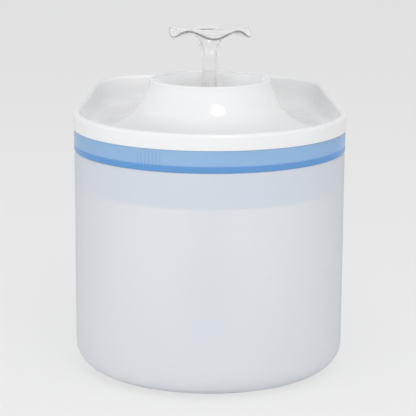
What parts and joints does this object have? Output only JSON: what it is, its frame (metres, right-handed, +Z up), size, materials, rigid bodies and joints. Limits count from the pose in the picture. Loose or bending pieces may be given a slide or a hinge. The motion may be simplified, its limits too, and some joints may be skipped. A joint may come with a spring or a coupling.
{
  "type": "pet water fountain",
  "caption": "Tabletop pet water fountain: frosted tank with submersible pump, blue filter basin, white drinking tray with flared pedestal, and a clear petal spout.",
  "frame": {"origin": "on the table under the middle of the body", "axes": "+Z up, -Y towards the rounded front where the pet drinks, +X to the right seen from the front"},
  "size_m": [0.1916, 0.2316, 0.2396],
  "materials": {
    "frosted": "frosted satin, translucent",
    "silicone_pad": "matte silicone",
    "grommet": "matte rubber",
    "pump_plastic": "moulded satin",
    "laminations": "stacked steel laminations",
    "copper": "enamelled copper wire",
    "ceramic": "polished ceramic",
    "clear_silicone": "soft clear silicone",
    "magnet": "coated ferrite",
    "sponge": "open-cell foam",
    "blue_plastic": "translucent blue, glossy",
    "filter_plastic": "moulded satin",
    "carbon": "bonded carbon granules",
    "cotton": "needled cotton pad",
    "white_gloss": "smooth white gloss",
    "clear_acrylic": "clear polished acrylic"
  },
  "bodies": {
    "tank": {"tank": "frosted", "foot_pads": "silicone_pad", "lead_grommet": "grommet", "pump_housing": "pump_plastic", "pump_back_cap": "pump_plastic", "stator_core": "laminations", "stator_coil": "copper", "rotor_shaft": "ceramic", "shaft_bushes": "grommet", "volute_cover": "pump_plastic", "suction_cups": "clear_silicone", "riser_tube": "clear_silicone"},
    "rotor": {"rotor_magnet": "magnet", "impeller": "pump_plastic"},
    "pump_cover": {"pump_cover": "pump_plastic", "inlet_sponge": "sponge"},
    "flow_dial": {"flow_dial": "blue_plastic"},
    "basin": {"filter_basin": "blue_plastic"},
    "filter": {"filter_frame": "filter_plastic", "filter_carbon": "carbon", "filter_cotton": "cotton", "filter_grille": "blue_plastic"},
    "tray": {"drinking_tray": "white_gloss", "riser_seal": "clear_silicone"},
    "spout": {"spout": "clear_acrylic", "spout_seal": "clear_silicone"}
  },
  "joints": [
    {"name": "rotor_spin", "type": "hinge", "parent": "tank", "child": "rotor", "pos_m": [0, -0.01, 0.0282], "axis": [0, 1, 0], "continuous": true},
    {"name": "pump_cover_slide", "type": "slide", "parent": "tank", "child": "pump_cover", "axis": [0, -1, 0], "range_m": [0, 0.04]},
    {"name": "flow_dial_turn", "type": "hinge", "parent": "pump_cover", "child": "flow_dial", "pos_m": [0, -0.047, 0.0282], "axis": [0, -1, 0], "range_deg": [0, 90]},
    {"name": "basin_lift", "type": "slide", "parent": "tank", "child": "basin", "axis": [0, 0, 1], "range_m": [0, 0.18]},
    {"name": "tray_lift", "type": "slide", "parent": "basin", "child": "tray", "axis": [0, 0, 1], "range_m": [0, 0.12]},
    {"name": "filter_lift", "type": "slide", "parent": "basin", "child": "filter", "axis": [0, 0, 1], "range_m": [0, 0.06]},
    {"name": "spout_lift", "type": "slide", "parent": "tray", "child": "spout", "axis": [0, 0, 1], "range_m": [0, 0.06]}
  ],
  "couplings": [
    {"joint": "filter_lift", "follows": "tray_lift", "ratio": 0.5}
  ]
}
